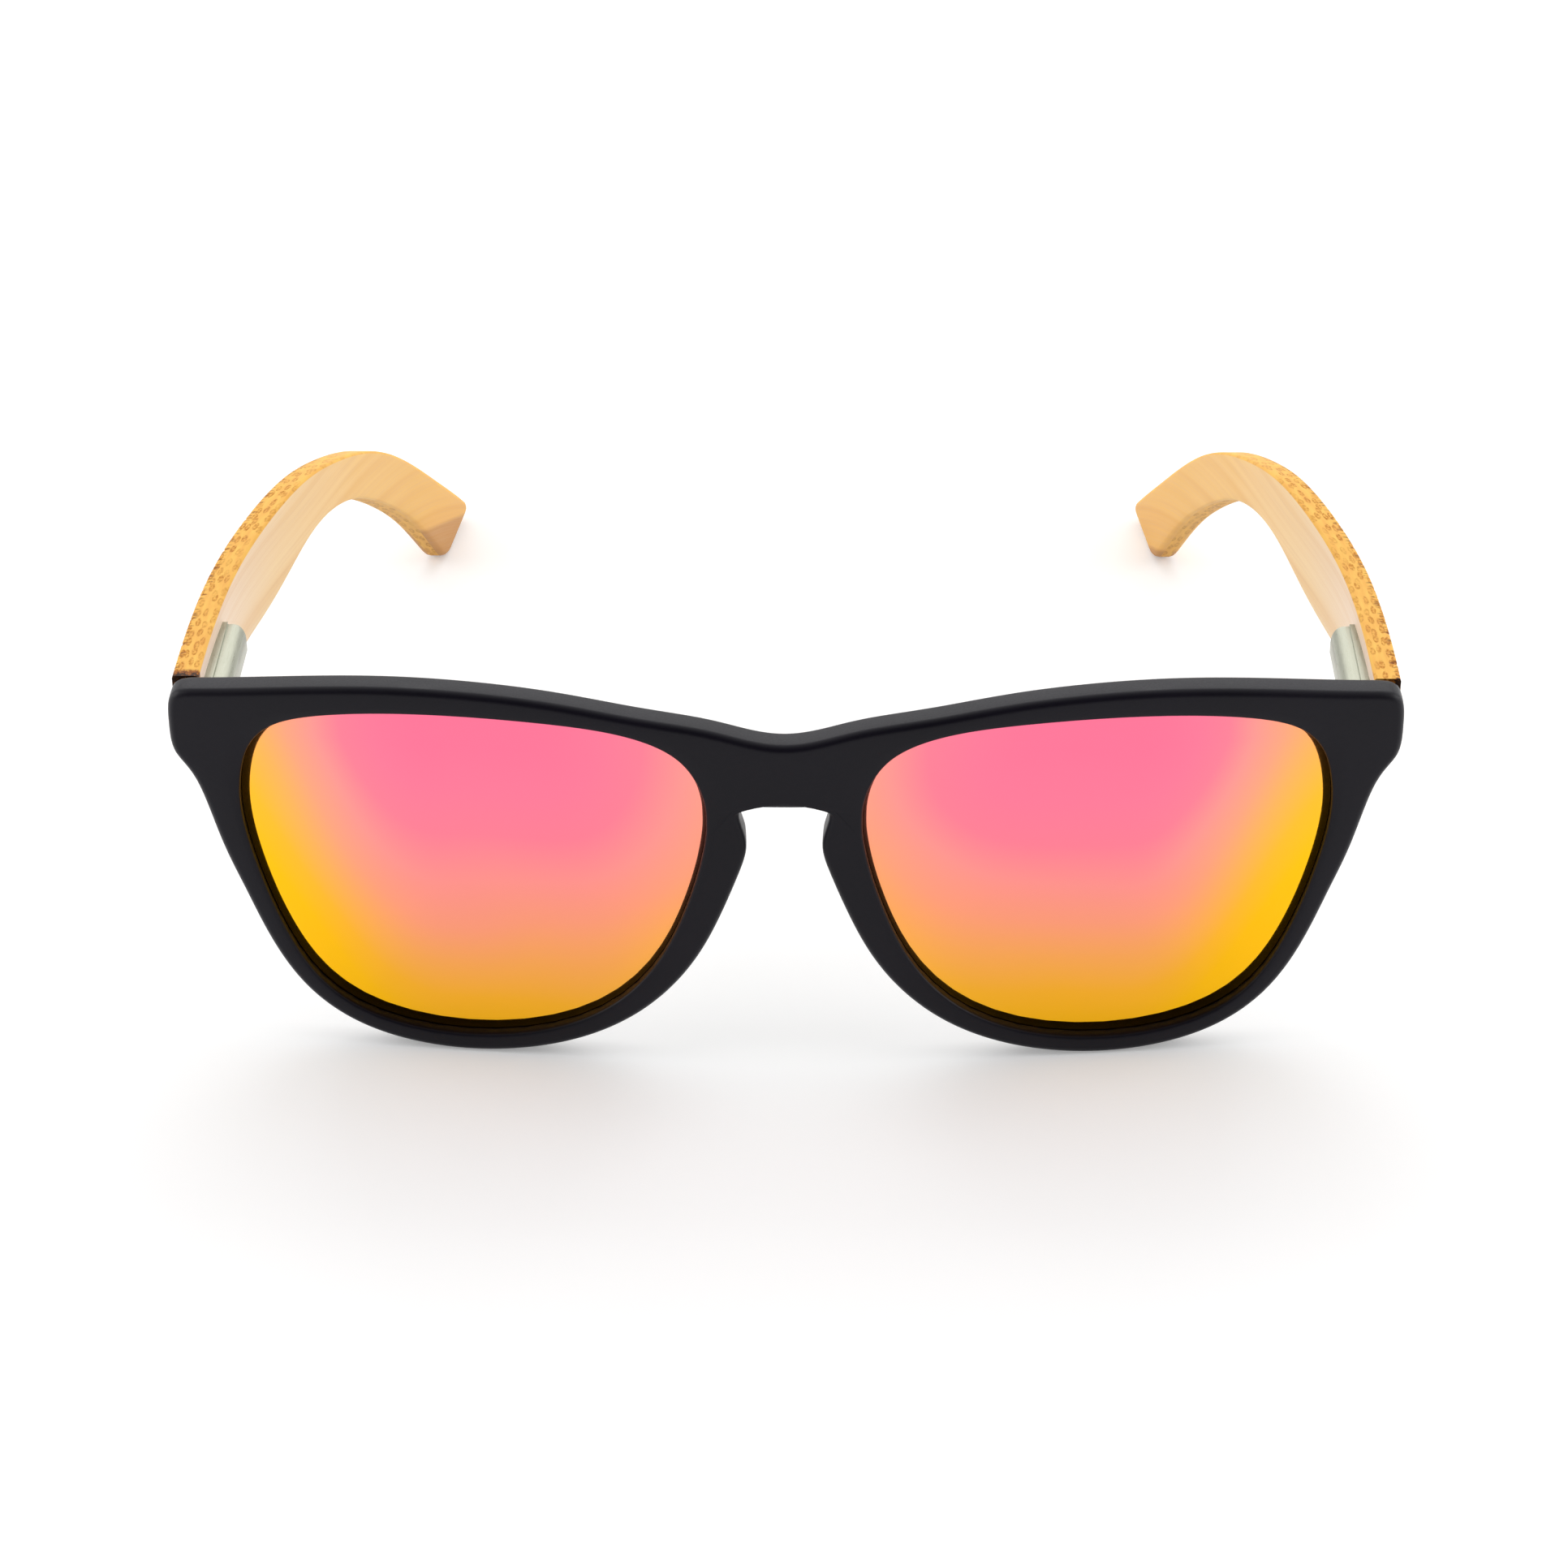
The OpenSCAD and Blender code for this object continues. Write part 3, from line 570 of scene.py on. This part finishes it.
scorch_crumb = 0.3 * MM
grain_slope, grain_bend = 0.06, 3.2
fibre_size, fibre_depth = (30 * MM, 0.24 * MM, 1.0), 0.012 * MM
strip_size = (110 * MM, 1.8 * MM, 1.0)
flank_roughness = (0.42, 0.58)
# On the flanks a painted pink reflection of the lenses fades to amber between these, leaning with height.
pale_lean = -1.2
pink_reflection_at, amber_start = -112 * MM, 40 * MM
brown_y, brown_z, brown_slope = 43.4 * MM, 11.5 * MM, -0.39
brown_left_drop = 4 * MM
brown_share, brown_edge = 0.8, (-0.3 * MM, 0.4 * MM)
brown_start = (-6 * MM, -4 * MM)
top_cell, under_cell = (2.7 * MM, 0.85 * MM, 1.0), (3.2 * MM, 0.9 * MM, 1.0)
mark_drift = (0.35, 0.35, 0.0)
mark_wear = (0.5 * MM, 0.3 * MM, 1.0)
mark_depth = 0.006 * MM
marks_thin_inwards = (2 * MM, 3 * MM)
marks_thin_backwards = (55 * MM, 80 * MM)
mark_shift = {"left": 0.0, "right": 3.7 * MM}
dash_size, dash_corner = (0.5 * MM, 1.6 * MM, 1.0), (0.25 * MM, 0.9 * MM)
edge_cloud = (5 * MM, 0.7 * MM, 1.0)
edge_roughness = (0.45, 0.6)


def smoothed(values, reach):
    """A running mean that keeps the slope at both ends."""
    count = max(1, round(reach / station_step / 2))
    before = 2 * values[0] - values[count:0:-1]
    after = 2 * values[-1] - values[-2:-count - 2:-1]
    kernel = np.ones(2 * count + 1) / (2 * count + 1)
    return np.convolve(np.concatenate([before, values, after]), kernel, "valid")


def measured_sections(solid, stations):
    """Inner and outer side, underside and top of the temple at each station along Y."""
    rows = []
    for y in stations:
        slice_of = solid.copy()
        everything = slice_of.verts[:] + slice_of.edges[:] + slice_of.faces[:]
        cut = bmesh.ops.bisect_plane(slice_of, geom=everything, plane_co=(0, y, 0), plane_no=(0, 1, 0))
        corners = [item.co for item in cut["geom_cut"] if isinstance(item, bmesh.types.BMVert)]
        sides = [abs(corner.x) for corner in corners]
        heights = [corner.z for corner in corners]
        rows.append((min(sides), max(sides), min(heights), max(heights)))
        slice_of.free()
    return np.array(rows).T


def temple_lines(side):
    """Stations along a temple, and the lines of its two sides, underside and top, smoothed and rounded."""
    solid = merged(f"temple_{side}")
    low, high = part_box(f"temple_{side}")
    count = round((high.y - low.y) / station_step)
    stations = np.linspace(low.y + butt_gap, high.y - tip_gap, count)
    inner, outer, under, top = measured_sections(solid, stations)
    solid.free()
    inner, outer, top = [smoothed(line, smooth_reach) for line in (inner, outer, top)]
    heel = int(np.argmin(under))
    lowest = under.min()
    under[:heel + 1] = smoothed(under[:heel + 1], arch_reach)
    under = smoothed(under, heel_reach)
    under -= (under.min() - lowest) * np.exp(-((stations - stations[heel]) / arch_reach) ** 2)
    first = int(np.searchsorted(stations, stations[-1] - tip_round))
    share = (stations[first:] - stations[first]) / tip_round
    closing = (top[first] - under[first]) * np.sqrt(np.clip(1 - share ** 2, 0, 1))
    top[first:] = np.minimum(top[first:], under[first:] + np.maximum(closing, tip_least))
    return stations, inner, outer, under, top


def saw_nicks(side, run):
    """How deep the saw has nicked the outer edge at each station, as a share of the deepest nick."""
    chance = random.Random(f"nicks of the {side} temple")
    nicks = np.zeros(len(run))
    for _ in range(nick_count):
        depth = chance.uniform(nick_least, 1.0)
        nicks[int(np.searchsorted(run, chance.uniform(nick_start, nick_run)))] = depth
    return nicks


def section_ring(inner, outer, low, top, radius, nick):
    """Corners of a rounded section, from its outer top edge over the top, down inside and round."""
    turns = [(outer - nick_in * nick, top, -1, -1, radius + nick_open * nick), (inner, top, 1, -1, radius),
             (inner, low, 1, 1, radius), (outer, low, -1, 1, radius)]
    counts = (edge_steps, flank_steps, edge_steps, flank_steps)
    arcs = []
    for quarter, (x, z, to_middle, to_height, r) in enumerate(turns):
        angles = [math.radians(90 * (quarter + k / corner_steps)) for k in range(corner_steps + 1)]
        arcs.append([(x + to_middle * r + r * math.cos(angle), z + to_height * r + r * math.sin(angle))
                     for angle in angles])
    ring = []
    for arc, ahead, count in zip(arcs, arcs[1:] + arcs[:1], counts):
        ring += arc
        here, there = arc[-1], ahead[0]
        for k in range(1, count):
            ring.append(tuple(a + (b - a) * k / count for a, b in zip(here, there)))
    return ring


def mixed(tree, share, first, second, blend="MIX"):
    """Two colours blended, the second one by the given share."""
    node = tree.nodes.new("ShaderNodeMix")
    node.data_type = "RGBA"
    node.blend_type = blend
    sockets = {socket.identifier: socket for socket in node.inputs}
    for identifier, value in (("Factor_Float", share), ("A_Color", first), ("B_Color", second)):
        if isinstance(value, bpy.types.NodeSocket):
            tree.links.new(value, sockets[identifier])
        else:
            sockets[identifier].default_value = value
    return next(socket for socket in node.outputs if socket.identifier == "Result_Color")


def scorched(tree, colour):
    """The colour with the scorched spots of the saw burnt in."""
    burn = add(tree, "ShaderNodeAttribute", {}, attribute_name="scorch").outputs["Fac"]
    ragged = between(tree, noise(tree, place(tree, [scorch_crumb] * 3), 3.0), 0.4, 1.5)
    edge = maths(tree, "MULTIPLY", burn, ragged)
    singed = mixed(tree, between(tree, edge, 0.0, 1.0, 0.1, 0.4), colour, paint(158, 90, 24))
    return mixed(tree, between(tree, edge, 0.0, 1.0, 0.4, 0.75), singed, paint(48, 24, 6))


def bamboo_flank():
    """Straight fine grain that follows the temple and turns down at its tip, with painted pink reflection by
    the hinge.
    """
    material, tree, shader = finish_named("bamboo_flank", Specular_IOR_Level=0.35)
    at = axes(tree)
    behind = maths(tree, "MAXIMUM", at["Y"], 0.0)
    sloped = maths(tree, "MULTIPLY_ADD", at["Y"], grain_slope, at["Z"])
    across = maths(tree, "MULTIPLY_ADD", maths(tree, "MULTIPLY", behind, behind), grain_bend, sloped)
    grain = add(tree, "ShaderNodeCombineXYZ", {"X": at["Y"], "Y": across}).outputs["Vector"]
    fibres = noise(tree, stepped(tree, grain, fibre_size), 3.0, 0.6)
    strips = noise(tree, stepped(tree, grain, strip_size), 1.5)
    # Painted reflection: the ground is pale pink towards the butt and the top, as if lit by the pink lenses,
    # and turns amber towards the tip.
    lower = maths(tree, "MULTIPLY_ADD", at["Z"], pale_lean, at["Y"])
    ground = ramp(tree, between(tree, lower, 0.0, 1.0, pink_reflection_at, amber_start),
                  (0.0, paint(248, 228, 214)), (0.12, paint(248, 225, 202)), (0.3, paint(248, 216, 167)),
                  (0.55, paint(242, 197, 122)), (0.85, paint(234, 182, 92)), (1.0, paint(234, 180, 88)))
    lines = ramp(tree, fibres, (0.3, paint(248, 241, 233)), (0.5, paint(254, 251, 248)),
                 (0.7, paint(255, 255, 255)))
    bands = ramp(tree, strips, (0.35, paint(249, 241, 230)), (0.6, paint(255, 255, 255)))
    colour = mixed(tree, 1.0, mixed(tree, 1.0, ground, lines, "MULTIPLY"), bands, "MULTIPLY")
    # Darker brown low on the hook, below a line that slopes down towards the tip and lies lower on the left
    # temple.
    back = maths(tree, "SUBTRACT", at["Y"], brown_y)
    line = maths(tree, "MULTIPLY_ADD", back, brown_slope, brown_z)
    on_left = maths(tree, "GREATER_THAN", at["X"], 0.0)
    lowered = maths(tree, "MULTIPLY_ADD", on_left, -brown_left_drop, line)
    low_brown_band = between(tree, maths(tree, "SUBTRACT", lowered, at["Z"]), 0.0, brown_share, *brown_edge)
    at_tip = between(tree, back, 0.0, 1.0, *brown_start)
    colour = mixed(tree, maths(tree, "MULTIPLY", low_brown_band, at_tip), colour, paint(186, 128, 64))
    dressed(tree, shader, scorched(tree, colour), between(tree, fibres, *flank_roughness))
    bumped(tree, shader, fibres, fibre_depth, 0.4)
    return material


def grey(level):
    """A share as a colour, for a ramp that gives shares."""
    return (level, level, level, 1.0)


def bamboo_edge(name, pale, deep, mark, cell, fade):
    """A sawn edge: brown spots where fibres come out, fewer inwards, and dashes at the outer corner."""
    material, tree, shader = finish_named(name, Specular_IOR_Level=0.15)
    where = place(tree, cell, "UV")
    drift = add(tree, "ShaderNodeTexNoise", {"Vector": where, "Scale": 1.3, "Detail": 2.0}).outputs["Color"]
    bent = add(tree, "ShaderNodeVectorMath", {0: drift, 1: mark_drift, 2: where},
               operation="MULTIPLY_ADD").outputs["Vector"]
    cells = add(tree, "ShaderNodeTexVoronoi", {"Vector": bent, "Scale": 1.0, "Randomness": 0.8},
                voronoi_dimensions="2D").outputs
    spots = ramp(tree, cells["Distance"], (0.0, grey(0.7)), (0.12, grey(0.65)), (0.22, grey(1.0)),
                 (0.32, grey(1.0)), (0.42, grey(0.0)))
    chosen = add(tree, "ShaderNodeSeparateXYZ", {"Vector": cells["Color"]}).outputs["X"]
    worn = noise(tree, place(tree, mark_wear, "UV"), 2.0)
    at = axes(tree, "UV")
    strength = spots
    for share in (between(tree, chosen, 0.45, 1.0, 0.1, 0.5),
                  between(tree, worn, 0.15, 1.0, 0.35, 0.6),
                  between(tree, at["Y"], 1.0, 0.55, *marks_thin_inwards),
                  between(tree, at["X"], 1.0, fade, *marks_thin_backwards)):
        strength = maths(tree, "MULTIPLY", strength, share)
    streaks = between(tree, noise(tree, place(tree, dash_size, "UV"), 1.0), 0.0, 0.9, 0.52, 0.62)
    at_corner = between(tree, at["Y"], 1.0, 0.0, *dash_corner)
    dashes = maths(tree, "MULTIPLY", streaks, at_corner)
    clouds = noise(tree, place(tree, edge_cloud, "UV"), 2.0)
    ground = ramp(tree, clouds, (0.3, deep), (0.7, pale))
    colour = mixed(tree, dashes, mixed(tree, strength, ground, mark), paint(128, 70, 10))
    dressed(tree, shader, scorched(tree, colour), between(tree, clouds, *edge_roughness))
    bumped(tree, shader, maths(tree, "MAXIMUM", strength, dashes), mark_depth, 0.5)
    return material


flank = bamboo_flank()
sawn_top = bamboo_edge("bamboo_top_edge", paint(250, 196, 96), paint(240, 176, 76), paint(192, 116, 6),
                       top_cell, 0.35)
sawn_under = bamboo_edge("bamboo_under_edge", paint(240, 188, 98), paint(224, 166, 76), paint(184, 120, 36),
                         under_cell, 0.8)
over_faces = range(2 * corner_steps + edge_steps)
under_start = 3 * corner_steps + edge_steps + flank_steps
under_faces = range(under_start, under_start + edge_steps)
for side, mirror in (("left", 1), ("right", -1)):
    stations, inner, outer, under, top = temple_lines(side)
    run = np.concatenate([[0.0], np.cumsum(np.hypot(np.diff(stations), np.diff(top)))])
    nicks = saw_nicks(side, run)
    solid = bmesh.new()
    map_layer = solid.loops.layers.uv.new("along_across")
    scorch = solid.verts.layers.float.new("scorch")
    rings = []
    for y, x_in, x_out, z_low, z_top, nick, far in zip(stations, inner, outer, under, top, nicks, run):
        worn = min(1.0, max(0.0, (y - worn_from) / worn_over))
        radius = temple_corner + worn * (tip_corner - temple_corner)
        radius = min(radius, corner_most * (z_top - z_low), corner_most * (x_out - x_in))
        at_butt = max(0.0, 1 - far / scorch_reach[side])
        ring = []
        for k, (x, z) in enumerate(section_ring(x_in, x_out, z_low, z_top, radius, nick_depth * nick)):
            vertex = solid.verts.new((mirror * x, y, z))
            burnt = z > z_top - 2 * temple_corner and x > x_out - scorch_width[side]
            vertex[scorch] = max(at_butt if burnt else 0.0, nick_scorch * nick if k <= corner_steps else 0.0)
            ring.append(vertex)
        rings.append(ring)
    per_ring = len(rings[0])
    for s in range(len(rings) - 1):
        for k in range(per_ring):
            m = (k + 1) % per_ring
            corners = ((s, k), (s, m), (s + 1, m), (s + 1, k))
            face = solid.faces.new([rings[i][j] for i, j in corners])
            face.material_index = 1 if k in over_faces else 2 if k in under_faces else 0
            for loop, (i, j) in zip(face.loops, corners):
                loop[map_layer].uv = (mark_shift[side] + run[i], outer[i] - abs(rings[i][j].co.x))
    for ring in (rings[0], rings[-1]):
        cap = solid.faces.new(ring)
        cap.material_index = 2
    bmesh.ops.recalc_face_normals(solid, faces=solid.faces)
    creased(solid, temple_sharp_angle)
    temple = finished(solid, f"bamboo_temple_{side}", flank, sawn_top, sawn_under)
    fit(temple, f"{side}_temple", f"temple_{side}")

# Table, light and camera
# The sunglasses stand open on a white table in a white room that is dim behind the camera. Soft lamps light
# them from above, one behind them and one at each side, and the camera looks down on their front.
table_size = 6.0
table_white = (0.8, 0.8, 0.8, 1.0)
white = (1.0, 1.0, 1.0, 1.0)
glow_seen, glow_mirrored = 0.27, 0.34
behind_at = (0.0, 0.58, 0.55)
lamp_behind = {"aim": (0.0, -0.02, 0.02), "size": (0.9, 0.5), "power": 1.8}
beside_out, beside_up = 0.65, 0.27
lamp_beside = {"aim": (0.0, 0.0, 0.03), "size": (0.5, 0.4), "power": 1.5}
room_dim_side = (0.0, -0.86, 0.5)
room_bright, room_dim = 1.0, 0.1
dim_from, dim_full = 0.45, 0.9
eye_distance = 480 * MM
eye_height = math.radians(30.5)
eye_turn = math.radians(1.1)
eye_roll = math.radians(-0.4)
eye_target = Vector((0.019 * MM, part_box("front_frame")[0].y, 38.385 * MM))
eye_lens = 96.094
eye_sensor = 36.0
eye_nearest = 0.01


def white_table():
    """Matt white that glows a little to the camera and in mirrors, and keeps the shadows."""
    material, tree, shader = finish_named("white_table", Base_Color=table_white, Roughness=0.9,
                                          Specular_IOR_Level=0.0, Emission_Color=white)
    path = add(tree, "ShaderNodeLightPath", {}).outputs
    mirrored = maths(tree, "MAXIMUM", path["Is Glossy Ray"], path["Is Transmission Ray"])
    in_mirror = maths(tree, "MULTIPLY", mirrored, glow_mirrored)
    glow = maths(tree, "MULTIPLY_ADD", path["Is Camera Ray"], glow_seen, in_mirror)
    tree.links.new(glow, shader.inputs["Emission Strength"])
    return material


def lamp(name, place_at, aim, size, power):
    """A soft rectangular lamp, turned towards its aim."""
    light = bpy.data.lights.new(name, "AREA")
    light.shape = "RECTANGLE"
    light.size, light.size_y = size
    light.energy = power
    holder = bpy.data.objects.new(name, light)
    holder.location = place_at
    holder.rotation_euler = (Vector(aim) - Vector(place_at)).to_track_quat("-Z", "Y").to_euler()
    bpy.context.scene.collection.objects.link(holder)


table = bmesh.new()
bmesh.ops.create_grid(table, x_segments=1, y_segments=1, size=table_size / 2)
floor = finished(table, "table", white_table())

lamp("behind", behind_at, **lamp_behind)
for way in (-1, 1):
    lamp("beside", (way * beside_out, 0.0, beside_up), **lamp_beside)
world = bpy.data.worlds.new("white_room")
world.use_nodes = True
room = world.node_tree
direction = add(room, "ShaderNodeTexCoord", {}).outputs["Generated"]
facing = add(room, "ShaderNodeVectorMath", {0: direction, 1: room_dim_side}, operation="DOT_PRODUCT")
light_there = between(room, facing.outputs["Value"], room_bright, room_dim, dim_from, dim_full)
to_eye = add(room, "ShaderNodeLightPath", {}).outputs["Is Camera Ray"]
room.nodes["Background"].inputs["Color"].default_value = white
room.links.new(maths(room, "MAXIMUM", light_there, to_eye), room.nodes["Background"].inputs["Strength"])
bpy.context.scene.world = world

eye = bpy.data.cameras.new("eye")
eye.lens = eye_lens
eye.sensor_width = eye_sensor
eye.clip_start = eye_nearest
camera = bpy.data.objects.new("eye", eye)
level = eye_distance * math.cos(eye_height)
camera.location = eye_target + Vector((level * math.sin(eye_turn), -level * math.cos(eye_turn),
                                       eye_distance * math.sin(eye_height)))
camera.rotation_euler = (eye_target - camera.location).to_track_quat("-Z", "Y").to_euler()
camera.rotation_euler.rotate_axis("Z", eye_roll)
bpy.context.scene.collection.objects.link(camera)
bpy.context.scene.camera = camera
bpy.context.scene.view_settings.view_transform = "Standard"
